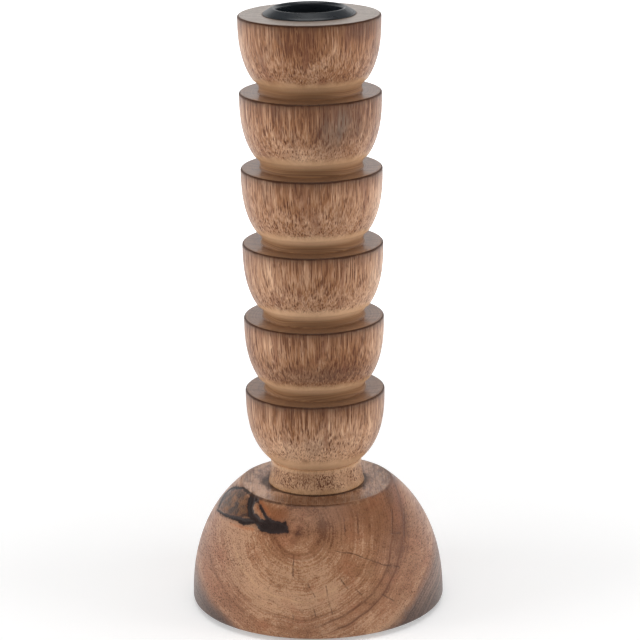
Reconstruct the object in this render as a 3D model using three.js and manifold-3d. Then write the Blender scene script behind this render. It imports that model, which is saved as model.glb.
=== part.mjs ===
// Turned wooden candle holder: a one-piece stem of stacked bowls on a domed base, with a metal candle cup.
// Millimetres, +Z up. The origin is on the table, under the middle of the base.
import * as THREE from 'three';
import { mergeVertices } from 'three/addons/utils/BufferGeometryUtils.js';
import Module from 'manifold-3d';

// Felt pads under the base
const PAD_COUNT = 4;
const PAD_DIAMETER = 13;
const PAD_THICKNESS = 1.5;
const PAD_EDGE = 0.4;
const PAD_INSET = 4;

// Domed base, a block with its grain lying level
const DOME_RADIUS = 45.7;
const DOME_HEIGHT = 43.5;
const DOME_FULLNESS = 2.23;
const DOME_EDGE_ROUND = 1.2;
const FLAT_WIDTH = 10.2;

// Stem: a foot, the lowest bowl, and then bowls on short necks
const BOWL_COUNT = 6;
const RIM_RADIUS = 25;
const RIM_ROUND = 0.8;
const BOWL_HEIGHT = 24;
const BOWL_END_RADIUS = 19;
const BOWL_FULLNESS = 2.64;
const NECK_RADIUS = 18;
const NECK_HEIGHT = 3;
const LOWEST_BOWL_HEIGHT = 26.5;
const LOWEST_BOWL_END_RADIUS = 15.8;
const FOOT_TOP_RADIUS = 16.4;
const FOOT_RADIUS = 17.3;
const FOOT_HEIGHT = 9;

// Spigot of the stem, which seats in the base
const SPIGOT_RADIUS = 10;
const SPIGOT_LENGTH = 12;
const SPIGOT_CHAMFER = 1;
const SPIGOT_CLEARANCE = 0.3;

// Candle cup of sheet metal, for a 22 mm dinner candle
const CANDLE_BORE = 23;
const CUP_DEPTH = 22;
const CUP_WALL = 0.8;
const CUP_FLOOR_ROUND = 1.6;
const CUP_CLEARANCE = 0.3;
const LIP_RISE = 2.3;
const LIP_ROUND = 1.2;
const FLANGE_OVERLAP = 3.9;
const FLANGE_EDGE = 0.4;

// Screw and washer that draw the stem down on the base
const SCREW_LENGTH = 60;
const SCREW_THREAD_DIAMETER = 5;
const SCREW_SHANK_DIAMETER = 3.6;
const SCREW_SHANK_LENGTH = 14;
const SCREW_TIP_LENGTH = 6;
const SCREW_HEAD_DIAMETER = 10;
const SCREW_HEAD_HEIGHT = 3.6;
const SCREW_HEAD_SIDE = 1.2;
const SCREW_HOLE_CLEARANCE = 0.3;
const RECESS_SPAN = 4.8;
const RECESS_WIDTH = 1.1;
const RECESS_DEPTH = 2.2;
const RECESS_TAPER = 0.45;
const WASHER_DIAMETER = 16;
const WASHER_THICKNESS = 1.5;
const COUNTERBORE_DEPTH = 14;
const COUNTERBORE_CLEARANCE = 1.5;

// Fineness of the turned forms
const STEM_FACETS = 40;
const DOME_FACETS = 56;
const SMALL_FACETS = 24;
const DOME_STEPS = 14;
const BOWL_STEPS = 7;
const ROUND_STEPS = 3;
const LIP_STEPS = 5;

// Heights above the table
const baseBottom = PAD_THICKNESS;
const baseTop = baseBottom + DOME_HEIGHT;
const footTop = baseTop + FOOT_HEIGHT;
const firstRim = footTop + LOWEST_BOWL_HEIGHT;
const stemTop = firstRim + (BOWL_COUNT - 1) * (NECK_HEIGHT + BOWL_HEIGHT);
const spigotBottom = baseTop - SPIGOT_LENGTH;
const washerTop = baseBottom + COUNTERBORE_DEPTH;
const headTop = washerTop - WASHER_THICKNESS;
const screwTip = headTop + SCREW_LENGTH;
const lipTop = stemTop + LIP_RISE;
const cupFloor = lipTop - CUP_DEPTH;
const cupBottom = cupFloor - CUP_WALL;

// Radii that fit each other
const boreRadius = CANDLE_BORE / 2;
const cupRadius = boreRadius + CUP_WALL;
const cupSocketRadius = cupRadius + CUP_CLEARANCE;
const flangeRadius = cupRadius + FLANGE_OVERLAP;
const threadRadius = SCREW_THREAD_DIAMETER / 2;
const screwHoleRadius = threadRadius + SCREW_HOLE_CLEARANCE;
const washerRadius = WASHER_DIAMETER / 2;
const counterboreRadius = washerRadius + COUNTERBORE_CLEARANCE;
const spigotSocketRadius = SPIGOT_RADIUS + SPIGOT_CLEARANCE;
const spigotSocketFloor = spigotBottom - SPIGOT_CLEARANCE;

const wasm = await Module();
wasm.setup();

function at(radius, height) {
  return new THREE.Vector2(radius, height);
}

// A body of revolution about the Z axis, from a profile of radius and height that runs anticlockwise
function turned(profile, facets) {
  return new THREE.LatheGeometry(profile, facets).rotateX(Math.PI / 2);
}

// Points of a round about a centre in the profile's plane, ends included, angles in degrees
function round(centre, radius, from, to, steps) {
  return Array.from({ length: steps + 1 }, (_, step) => {
    const angle = THREE.MathUtils.degToRad(from + ((to - from) * step) / steps);
    return at(centre.x + radius * Math.cos(angle), centre.y + radius * Math.sin(angle));
  });
}

// A superellipse that starts upright at its full radius and narrows to endRadius at the given distance:
// (radius / full)^n + (distance / reach)^n = 1, with the reach that meets the end
function swell(fullRadius, endRadius, distance, fullness) {
  const reach = distance / (1 - (endRadius / fullRadius) ** fullness) ** (1 / fullness);
  return (along) => fullRadius * (1 - (along / reach) ** fullness) ** (1 / fullness);
}

// One bowl of the stem from its lower end up to its rim, with the rim's edge rounded over
function bowl(rimHeight, height, endRadius) {
  const radiusAt = swell(RIM_RADIUS, endRadius, height, BOWL_FULLNESS);
  const side = Array.from({ length: BOWL_STEPS }, (_, step) => {
    const turn = (Math.PI / 2) * (1 - step / BOWL_STEPS);
    const depth = RIM_ROUND + (height - RIM_ROUND) * Math.sin(turn);
    return at(radiusAt(depth), rimHeight - depth);
  });
  const rimCentre = at(RIM_RADIUS - RIM_ROUND, rimHeight - RIM_ROUND);
  return [...side, ...round(rimCentre, RIM_ROUND, 0, 90, 2)];
}

function feltPad() {
  const radius = PAD_DIAMETER / 2;
  const profile = [
    at(0, 0),
    at(radius - PAD_EDGE, 0),
    at(radius, PAD_EDGE),
    at(radius, PAD_THICKNESS),
    at(0, PAD_THICKNESS),
  ];
  return turned(profile, SMALL_FACETS);
}

function domeBase() {
  const radiusAt = swell(DOME_RADIUS, FOOT_RADIUS + FLAT_WIDTH, DOME_HEIGHT, DOME_FULLNESS);
  const edgeCentre = at(DOME_RADIUS - DOME_EDGE_ROUND, baseBottom + DOME_EDGE_ROUND);
  const side = Array.from({ length: DOME_STEPS }, (_, step) => {
    const turn = ((Math.PI / 2) * (step + 1)) / DOME_STEPS;
    const rise = DOME_EDGE_ROUND + (DOME_HEIGHT - DOME_EDGE_ROUND) * Math.sin(turn);
    return at(radiusAt(rise), baseBottom + rise);
  });
  const profile = [
    at(counterboreRadius, baseBottom),
    ...round(edgeCentre, DOME_EDGE_ROUND, -90, 0, ROUND_STEPS),
    ...side,
    at(spigotSocketRadius, baseTop),
    at(spigotSocketRadius, spigotSocketFloor),
    at(screwHoleRadius, spigotSocketFloor),
    at(screwHoleRadius, washerTop),
    at(counterboreRadius, washerTop),
    at(counterboreRadius, baseBottom),
  ];
  return turned(profile, DOME_FACETS);
}

function turnedStem() {
  const pilotTop = screwTip + SCREW_HOLE_CLEARANCE;
  const foot = [
    at(0, pilotTop),
    at(screwHoleRadius, pilotTop),
    at(screwHoleRadius, spigotBottom),
    at(SPIGOT_RADIUS - SPIGOT_CHAMFER, spigotBottom),
    at(SPIGOT_RADIUS, spigotBottom + SPIGOT_CHAMFER),
    at(SPIGOT_RADIUS, baseTop),
    at(FOOT_RADIUS, baseTop),
    at(FOOT_TOP_RADIUS, footTop),
  ];
  const bowls = Array.from({ length: BOWL_COUNT }, (_, tier) => {
    if (tier === 0) return bowl(firstRim, LOWEST_BOWL_HEIGHT, LOWEST_BOWL_END_RADIUS);
    const neckBottom = firstRim + (tier - 1) * (NECK_HEIGHT + BOWL_HEIGHT);
    const neckTop = neckBottom + NECK_HEIGHT;
    const neck = [at(NECK_RADIUS, neckBottom), at(NECK_RADIUS, neckTop)];
    return [...neck, ...bowl(neckTop + BOWL_HEIGHT, BOWL_HEIGHT, BOWL_END_RADIUS)];
  });
  const socketFloor = cupBottom - CUP_CLEARANCE;
  const socket = [at(cupSocketRadius, stemTop), at(cupSocketRadius, socketFloor), at(0, socketFloor)];
  return turned([...foot, ...bowls.flat(), ...socket], STEM_FACETS);
}

// The cup's wall rolls over at the lip into a flange that slopes down to the wood. The slope is the tangent
// from the flange's edge to the roll, and the underside runs one wall below it.
function candleCup() {
  const lipCentre = at(boreRadius + LIP_ROUND, lipTop - LIP_ROUND);
  const edgeTop = at(flangeRadius, stemTop + FLANGE_EDGE);
  const toEdge = edgeTop.clone().sub(lipCentre);
  const tangent = toEdge.angle() - 2 * Math.PI + Math.acos(LIP_ROUND / toEdge.length());
  const rollEnd = THREE.MathUtils.radToDeg(tangent);
  const underRound = LIP_ROUND - CUP_WALL;
  const underside = round(lipCentre, underRound, 180, rollEnd, ROUND_STEPS);
  const slopeStart = underside[ROUND_STEPS];
  const slopeRun = (slopeStart.y - stemTop) * Math.tan(tangent);
  const outerFloorRound = CUP_FLOOR_ROUND + CUP_WALL;
  const profile = [
    at(0, cupBottom),
    ...round(at(cupRadius - outerFloorRound, cupBottom + outerFloorRound), outerFloorRound, -90, 0, ROUND_STEPS),
    ...underside,
    at(slopeStart.x + slopeRun, stemTop),
    at(flangeRadius, stemTop),
    edgeTop,
    ...round(lipCentre, LIP_ROUND, rollEnd, 180, LIP_STEPS),
    ...round(at(boreRadius - CUP_FLOOR_ROUND, cupFloor + CUP_FLOOR_ROUND), CUP_FLOOR_ROUND, 0, -90, ROUND_STEPS),
    at(0, cupFloor),
  ];
  return turned(profile, STEM_FACETS);
}

function screwWasher() {
  const profile = [
    at(screwHoleRadius, headTop),
    at(washerRadius, headTop),
    at(washerRadius, washerTop),
    at(screwHoleRadius, washerTop),
    at(screwHoleRadius, headTop),
  ];
  return turned(profile, SMALL_FACETS);
}

function solid(geometry) {
  const positions = geometry.clone();
  positions.deleteAttribute('normal');
  positions.deleteAttribute('uv');
  const merged = mergeVertices(positions);
  const mesh = new wasm.Mesh({
    numProp: 3,
    vertProperties: new Float32Array(merged.attributes.position.array),
    triVerts: new Uint32Array(merged.index.array),
  });
  return new wasm.Manifold(mesh);
}

function geometryOf(body) {
  const { vertProperties, triVerts } = body.getMesh();
  const geometry = new THREE.BufferGeometry();
  geometry.setAttribute('position', new THREE.BufferAttribute(vertProperties, 3));
  geometry.setIndex(new THREE.BufferAttribute(triVerts, 1));
  return geometry;
}

// Pan-head wood screw, head down, with a tapered cross recess
function stemScrew() {
  const headBottom = headTop - SCREW_HEAD_HEIGHT;
  const headRadius = SCREW_HEAD_DIAMETER / 2;
  const shankRadius = SCREW_SHANK_DIAMETER / 2;
  const crown = SCREW_HEAD_HEIGHT - SCREW_HEAD_SIDE;
  const crownProfile = Array.from({ length: LIP_STEPS + 1 }, (_, step) => {
    const turn = ((Math.PI / 2) * step) / LIP_STEPS;
    return at(headRadius * Math.sin(turn), headBottom + crown * (1 - Math.cos(turn)));
  });
  const profile = [
    ...crownProfile,
    at(headRadius, headTop),
    at(shankRadius, headTop),
    at(shankRadius, headTop + SCREW_SHANK_LENGTH),
    at(threadRadius, headTop + SCREW_SHANK_LENGTH),
    at(threadRadius, screwTip - SCREW_TIP_LENGTH),
    at(0, screwTip),
  ];
  const half = RECESS_SPAN / 2;
  const slot = new THREE.Shape([
    at(-half, -RECESS_DEPTH),
    at(half, -RECESS_DEPTH),
    at(half, 0),
    at(half * RECESS_TAPER, RECESS_DEPTH),
    at(-half * RECESS_TAPER, RECESS_DEPTH),
    at(-half, 0),
  ]);
  const wing = new THREE.ExtrudeGeometry(slot, { depth: RECESS_WIDTH, bevelEnabled: false });
  wing.translate(0, 0, -RECESS_WIDTH / 2).rotateX(Math.PI / 2).translate(0, 0, headBottom);
  const crossWing = wing.clone().rotateZ(Math.PI / 2);
  return geometryOf(solid(turned(profile, SMALL_FACETS)).subtract(solid(wing)).subtract(solid(crossWing)));
}

function piece(name, geometry, colour, roughness, metalness) {
  const mesh = new THREE.Mesh(geometry, new THREE.MeshStandardMaterial({ color: colour, roughness, metalness }));
  mesh.name = name;
  return mesh;
}

const holder = new THREE.Group();
holder.add(piece('dome_base', domeBase(), 0xa2764f, 0.55, 0));
holder.add(piece('turned_stem', turnedStem(), 0x9b7453, 0.55, 0));
holder.add(piece('stem_screw', stemScrew(), 0xb4b6b8, 0.35, 1));
holder.add(piece('screw_washer', screwWasher(), 0xa9abad, 0.4, 1));

const padCircle = DOME_RADIUS - DOME_EDGE_ROUND - PAD_INSET - PAD_DIAMETER / 2;
for (let count = 0; count < PAD_COUNT; count += 1) {
  const angle = (2 * Math.PI * (count + 0.5)) / PAD_COUNT;
  const pad = piece(`felt_pad_${count + 1}`, feltPad(), 0x3b3531, 0.95, 0);
  pad.position.set(padCircle * Math.cos(angle), padCircle * Math.sin(angle), 0);
  holder.add(pad);
}

holder.add(piece('candle_cup', candleCup(), 0x24262a, 0.42, 0.6));

export default holder;
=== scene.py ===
"""Looks of the turned wooden candle holder: fine surfaces for every piece, their finishes, and the studio.

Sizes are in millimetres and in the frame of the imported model, which is in metres."""
import math

import bpy
import numpy as np
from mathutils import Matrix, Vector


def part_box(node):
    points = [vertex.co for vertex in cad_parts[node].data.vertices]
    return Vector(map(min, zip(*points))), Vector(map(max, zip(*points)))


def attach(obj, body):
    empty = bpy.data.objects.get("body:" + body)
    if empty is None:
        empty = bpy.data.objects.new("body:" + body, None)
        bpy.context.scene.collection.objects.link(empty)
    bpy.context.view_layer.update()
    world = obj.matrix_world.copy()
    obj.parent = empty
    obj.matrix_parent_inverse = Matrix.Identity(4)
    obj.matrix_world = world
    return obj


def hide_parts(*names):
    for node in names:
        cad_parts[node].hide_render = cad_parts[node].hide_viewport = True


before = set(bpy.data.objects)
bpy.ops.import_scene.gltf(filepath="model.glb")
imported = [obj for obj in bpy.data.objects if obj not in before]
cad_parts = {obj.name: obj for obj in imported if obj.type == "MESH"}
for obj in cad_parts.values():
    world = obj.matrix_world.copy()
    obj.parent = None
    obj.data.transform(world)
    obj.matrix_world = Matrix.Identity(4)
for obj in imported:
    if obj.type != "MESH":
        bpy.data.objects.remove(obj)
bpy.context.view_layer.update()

MM = 0.001


def low_and_high(node):
    """Lowest and highest corner of a CAD node, in millimetres."""
    low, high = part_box(node)
    return np.array(low) / MM, np.array(high) / MM


# Sizes taken from the frame
base_low, base_high = low_and_high("dome_base")
stem_low, stem_high = low_and_high("turned_stem")
cup_low, cup_high = low_and_high("candle_cup")
washer_low, washer_high = low_and_high("screw_washer")
screw_low, screw_high = low_and_high("stem_screw")
DOME_RADIUS = base_high[0]
RIM_RADIUS = stem_high[0]
FLANGE_RADIUS = cup_high[0]
BASE_BOTTOM = base_low[2]
BASE_TOP = base_high[2]
STEM_TOP = stem_high[2]
SPIGOT_BOTTOM = stem_low[2]
CUP_BOTTOM = cup_low[2]

# Domed base
DOME_FULLNESS = 2.23
DOME_EDGE_ROUND = 1.2
FLAT_RADIUS = 27.5
FLAT_EDGE_ROUND = 0.7
SPIGOT_SOCKET_RADIUS = 10.3
SPIGOT_SOCKET_DEPTH = 12.3
SCREW_HOLE_RADIUS = 2.8
COUNTERBORE_RADIUS = 9.5

# Stem
BOWL_COUNT = 6
BOWL_HEIGHT = 24.0
BOWL_END_RADIUS = 19.0
BOWL_FULLNESS = 2.64
RIM_ROUND = 0.8
NECK_RADIUS = 18.0
NECK_HEIGHT = 3.0
COVE_ROUND = 0.6
HEEL_RISE = 1.8
HEEL_DROP = 1.3
LOWEST_BOWL_HEIGHT = 26.5
LOWEST_BOWL_END_RADIUS = 15.8
FOOT_TOP_RADIUS = 16.4
FOOT_RADIUS = 17.3
FOOT_SHOULDER = 1.3
FOOT_HEIGHT = 9.0
FOOT_EASE = 0.3
SPIGOT_RADIUS = 10.0
SPIGOT_CHAMFER = 1.0
CLEARANCE = 0.3
PILOT_TOP = screw_high[2] + CLEARANCE
CUP_SOCKET_RADIUS = 12.6
CUP_SOCKET_FLOOR = CUP_BOTTOM - CLEARANCE
TIER = BOWL_HEIGHT + NECK_HEIGHT
FIRST_RIM = STEM_TOP - (BOWL_COUNT - 1) * TIER

# Candle cup
CUP_BORE_RADIUS = 11.5
CUP_WALL = 0.8
CUP_FLOOR_ROUND = 1.6
LIP_RISE = 2.3
LIP_ROUND = 1.2
FLANGE_EDGE = 0.4

# Camera of the photograph
CAMERA_PLACE = (2.14, -910.6, 368.4)
CAMERA_TILT = 16.116
CAMERA_ROLL = -0.87
FOCAL_LENGTH = 149.4
SENSOR_WIDTH = 36.0

# Points around each turned piece
BASE_AROUND = 360
STEM_AROUND = 192
CUP_AROUND = 160
FASTENER_AROUND = 96
PAD_AROUND = 72

PAD_COUNT = 4

# Heights this close count as level, and points this close as touching
LEVEL = 0.05
HAIR = 0.01

# Pith of the stem's wood, behind it: across and back
STEM_PITH = (9.0, 62.0)

# Figure of the base: where the pith comes out at the front, its rise toward the front, and the lean of the
# rings to the right
PITH = (-7.0, -34.8, 38.0)
PITH_RISE = math.radians(14.4)
RING_LEAN = 0.02

# Broad bands of rings: radius, half width, and the change of tone at the upper right and at the lower left
RING_BANDS = [
    (0.0, 3.2, -0.14, -0.14),
    (8.6, 2.2, -0.06, -0.16),
    (24.5, 6.0, 0.03, 0.08),
    (36.0, 6.5, -0.26, -0.04),
]

# Single rings: radius, half width, strength, and the middle and half of the turn they cover, in degrees
# anticlockwise from the right of the pith
DARK_RINGS = [
    (8.2, 0.8, 0.5, -80, 120),
    (9.9, 0.5, 0.35, -70, 100),
    (15.6, 0.6, 0.35, 15, 35),
    (20.2, 0.7, 0.4, 15, 38),
    (26.6, 0.3, 0.25, -105, 60),
    (30.7, 0.5, 0.35, -95, 60),
    (33.6, 0.8, 0.85, -18, 75),
    (34.6, 0.7, 0.35, -150, 40),
    (37.2, 0.8, 0.8, -22, 65),
]
PALE_RINGS = [
    (12.6, 0.5, 0.3, -110, 60),
    (20.8, 0.4, 0.3, -115, 55),
    (23.7, 0.7, 0.4, -110, 70),
    (28.4, 0.5, 0.3, -110, 55),
]

# Strokes on the front of the base, on a plane that leans back by the camera's tilt: across, up, half width
LEAN = math.radians(CAMERA_TILT)
BARK = [
    [(-22.6, 39.0, 0.9), (-23.0, 37.4, 1.1), (-23.7, 34.9, 0.9), (-23.2, 32.3, 1.1), (-21.4, 30.6, 1.4)],
    [(-22.2, 38.8, 0.6), (-21.4, 37.6, 0.7), (-22.4, 36.8, 0.5)],
    [(-20.8, 36.9, 0.0), (-19.4, 34.2, 0.2), (-18.2, 31.9, 0.5), (-16.8, 30.2, 0.9)],
    [(-21.6, 30.2, 0.9), (-19.5, 29.0, 1.8), (-16.6, 28.6, 2.2), (-13.8, 28.2, 2.0), (-11.9, 28.0, 1.5)],
    [(-11.4, 29.8, 0.3), (-10.8, 27.0, 0.5), (-13.1, 26.6, 0.4)],
    [(-36.0, 32.9, 0.1), (-32.8, 31.5, 0.4), (-28.2, 30.6, 0.7), (-26.0, 29.9, 1.0), (-22.6, 30.2, 0.8)],
    [(-35.5, 33.6, 0.0), (-34.5, 36.3, 0.1), (-32.8, 38.9, 0.1), (-31.1, 40.2, 0.2), (-29.4, 40.9, 0.2),
     (-26.4, 40.9, 0.1), (-24.3, 39.7, 0.3)],
]
KNOT = [
    [(-35.2, 34.8, 1.6), (-32.3, 36.6, 3.0), (-28.3, 37.1, 3.9), (-26.2, 35.6, 3.1)],
    [(-34.2, 33.8, 1.0), (-28.6, 33.0, 2.2), (-25.2, 33.2, 2.2)],
]
GLOW = [[(-19.5, 36.1, 0.4), (-17.3, 34.1, 0.7), (-14.5, 32.5, 0.7), (-12.0, 32.8, 0.3)]]
# Painted highlight: thin orange lines along the edges of the sunk bark
BARK_EDGE_HIGHLIGHT = [
    [(-20.2, 36.8, 0.1), (-18.5, 34.8, 0.3), (-16.9, 32.6, 0.1)],
    [(-31.0, 28.9, -0.4), (-26.5, 27.9, 0.1), (-22.5, 27.4, 0.0)],
    [(-21.3, 35.2, -0.2), (-20.6, 33.6, 0.1), (-19.8, 31.8, 0.0)],
]
HEART = [
    [(-7.0, 26.2, 0.2), (-6.2, 27.4, 0.0)],
    [(-7.0, 26.2, 0.2), (-5.6, 25.9, 0.0)],
    [(-7.4, 25.8, 0.2), (-7.2, 24.8, 0.0)],
    [(-9.0, 24.2, -0.3), (-8.2, 23.6, -0.3)],
]
SHADE = [[(1.0, 38.0, 2.0), (12.0, 36.0, 5.0), (21.0, 31.0, 4.0), (26.0, 22.0, 1.0)]]

# Distance where no stroke is near, the curved line round the side where strokes end, and the bark's depth
FAR = 50.0
KNOT_UP = 38.0
SIDE_END = 3.0
SIDE_DIP = 12.0
BARK_DEPTH = 0.55

# Fine checks on the same plane: from across, up, to across, up, and half width
CHECKS = [
    (-8.3, 18.6, -8.5, 15.0, 0.4),
    (-8.5, 15.0, -8.7, 11.5, 0.45),
    (6.0, 20.1, 12.8, 18.8, 0.25),
    (12.8, 18.8, 23.0, 14.6, 0.25),
    (23.0, 14.6, 29.0, 13.3, 0.5),
    (26.4, 25.1, 29.8, 25.0, 0.45),
    (22.5, 4.4, 26.7, 1.4, 0.45),
    (-3.7, 9.2, -1.1, 4.2, 0.35),
    (7.7, 10.5, 10.5, 6.8, 0.45),
    (13.2, 6.4, 15.2, 4.5, 0.3),
    (2.7, 8.2, 4.1, 0.9, 0.3),
    (4.1, 0.9, 5.1, -2.1, 0.3),
    (-8.8, -1.4, -8.8, -4.3, 0.3),
    (-1.5, 0.1, -0.9, -2.9, 0.3),
    (9.5, 31.6, 9.8, 25.1, 0.35),
    (14.2, 33.3, 14.4, 24.9, 0.4),
    (26.9, 33.5, 26.6, 25.0, 0.35),
    (31.2, 33.0, 30.9, 22.0, 0.3),
]


def arc(centre, radius, start, end, steps):
    """Points of a round about centre, from the start angle to the end angle in degrees."""
    angle = np.radians(np.linspace(start, end, steps))
    return np.column_stack([centre[0] + radius * np.cos(angle), centre[1] + radius * np.sin(angle)])


def line(start, end, steps):
    """Points spaced evenly along a straight line, both ends included."""
    return np.linspace(start, end, steps)


def bend(start, corner, end, steps):
    """Points of the curve (1 - t)^2 start + 2 t (1 - t) corner + t^2 end."""
    t = np.linspace(0, 1, steps)[:, None]
    return (1 - t) ** 2 * np.array(start) + 2 * t * (1 - t) * np.array(corner) + t ** 2 * np.array(end)


def swell(full, end, reach_to, fullness):
    """Superellipse that leaves its full radius upright and narrows to end at reach_to:
    (radius / full)^n + (distance / reach)^n = 1."""
    reach = reach_to / (1 - (end / full) ** fullness) ** (1 / fullness)
    return lambda distance: full * (1 - (distance / reach) ** fullness) ** (1 / fullness)


def smooth(low, high, value):
    """Runs from 0 at low to 1 at high with level ends: t^2 (3 - 2 t)."""
    t = np.clip((value - low) / (high - low), 0, 1)
    return t * t * (3 - 2 * t)


def put_mesh(name, vertices, faces, fields=None):
    """Makes an object from vertices in millimetres and face arrays, one array for each number of corners.
    Each field is one number for each vertex, kept as an attribute of the mesh."""
    mesh = bpy.data.meshes.new(name)
    corners = np.concatenate([group.ravel() for group in faces]).astype(np.int32)
    counts = np.concatenate([np.full(len(group), group.shape[1]) for group in faces])
    starts = np.concatenate([[0], np.cumsum(counts)[:-1]]).astype(np.int32)
    mesh.vertices.add(len(vertices))
    mesh.vertices.foreach_set("co", (np.asarray(vertices) * MM).astype(np.float32).ravel())
    mesh.loops.add(len(corners))
    mesh.loops.foreach_set("vertex_index", corners)
    mesh.polygons.add(len(starts))
    mesh.polygons.foreach_set("loop_start", starts)
    mesh.update(calc_edges=True)
    mesh.validate()
    for key, values in (fields or {}).items():
        mesh.attributes.new(key, "FLOAT", "POINT").data.foreach_set("value", np.asarray(values, np.float32))
    mesh.polygons.foreach_set("use_smooth", np.ones(len(starts), bool))
    piece = bpy.data.objects.new(name, mesh)
    bpy.context.scene.collection.objects.link(piece)
    return piece


def revolve(profile, around):
    """Turns a profile of radius and height about Z: point (i, j) = (r_i cos a_j, r_i sin a_j, z_i),
    with a_j = 2 pi j / around. Returns the grid of points, rows along the profile."""
    angle = np.linspace(0, 2 * np.pi, around, endpoint=False)
    radius = profile[:, :1]
    height = np.repeat(profile[:, 1:], around, axis=1)
    return np.stack([radius * np.cos(angle), radius * np.sin(angle), height], axis=-1)


def turned_faces(rows, around, first_pole, last_pole, ring):
    """Faces of a turned grid: quads between rows, a fan of triangles at a pole, a closing row on a ring."""
    index = np.arange(rows * around).reshape(rows, around)
    upper = np.roll(index, -1, axis=0)
    pair = slice(None) if ring else slice(0, rows - 1)
    low, high = index[pair], upper[pair]
    quads = np.stack([low, np.roll(low, -1, 1), np.roll(high, -1, 1), high], axis=-1).reshape(-1, 4)
    fans = []
    end = rows * around
    if first_pole:
        row = index[0]
        fans.append(np.column_stack([np.full(around, end), np.roll(row, -1), row]))
        end += 1
    if last_pole:
        row = index[-1]
        fans.append(np.column_stack([np.full(around, end), row, np.roll(row, -1)]))
    return [quads] + ([np.concatenate(fans)] if fans else [])


def turned(name, profile, around, fields=None, shape=None):
    """A turned piece. The profile runs anticlockwise and ends on the axis or closes on itself. Shape may move
    the grid of points and the poles. Fields give one number for each point of the profile, or of the grid."""
    profile = np.asarray(profile, float)
    ring = bool(np.allclose(profile[0], profile[-1]))
    if ring:
        profile = profile[:-1]
    first_pole = profile[0, 0] == 0 and not ring
    last_pole = profile[-1, 0] == 0 and not ring
    inner = slice(int(first_pole), len(profile) - int(last_pole))
    grid = revolve(profile[inner], around)
    ends = [profile[end] for end, pole in ((0, first_pole), (-1, last_pole)) if pole]
    poles = np.array([[(0, 0, end[1]) for end in ends]], float).reshape(1, -1, 3)
    if shape:
        grid, poles = shape(grid), shape(poles)
    vertices = np.concatenate([grid.reshape(-1, 3), poles[0]])
    values = {}
    for key, field in (fields or {}).items():
        field = field(grid) if callable(field) else np.asarray(field)[:len(profile)][inner]
        body = np.broadcast_to(field.reshape(len(grid), -1), grid.shape[:2]).ravel()
        values[key] = np.concatenate([body, np.zeros(len(ends))])
    return put_mesh(name, vertices, turned_faces(len(grid), around, first_pole, last_pole, ring), values)


class Field:
    """A value, colour or vector of a finish: wraps a socket, and arithmetic on values adds Math nodes."""

    def __init__(self, finish, socket):
        self.finish = finish
        self.socket = socket

    def math(self, operation, *operands):
        return self.finish.node("ShaderNodeMath", {"operation": operation}, operands)

    def __add__(self, other):
        return self.math("ADD", self, other)

    def __sub__(self, other):
        return self.math("SUBTRACT", self, other)

    def __rsub__(self, other):
        return self.math("SUBTRACT", other, self)

    def __mul__(self, other):
        return self.math("MULTIPLY", self, other)

    def __truediv__(self, other):
        return self.math("DIVIDE", self, other)

    def __pow__(self, other):
        return self.math("POWER", self, other)

    def __abs__(self):
        return self.math("ABSOLUTE", self)

    __radd__ = __add__
    __rmul__ = __mul__


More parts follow.
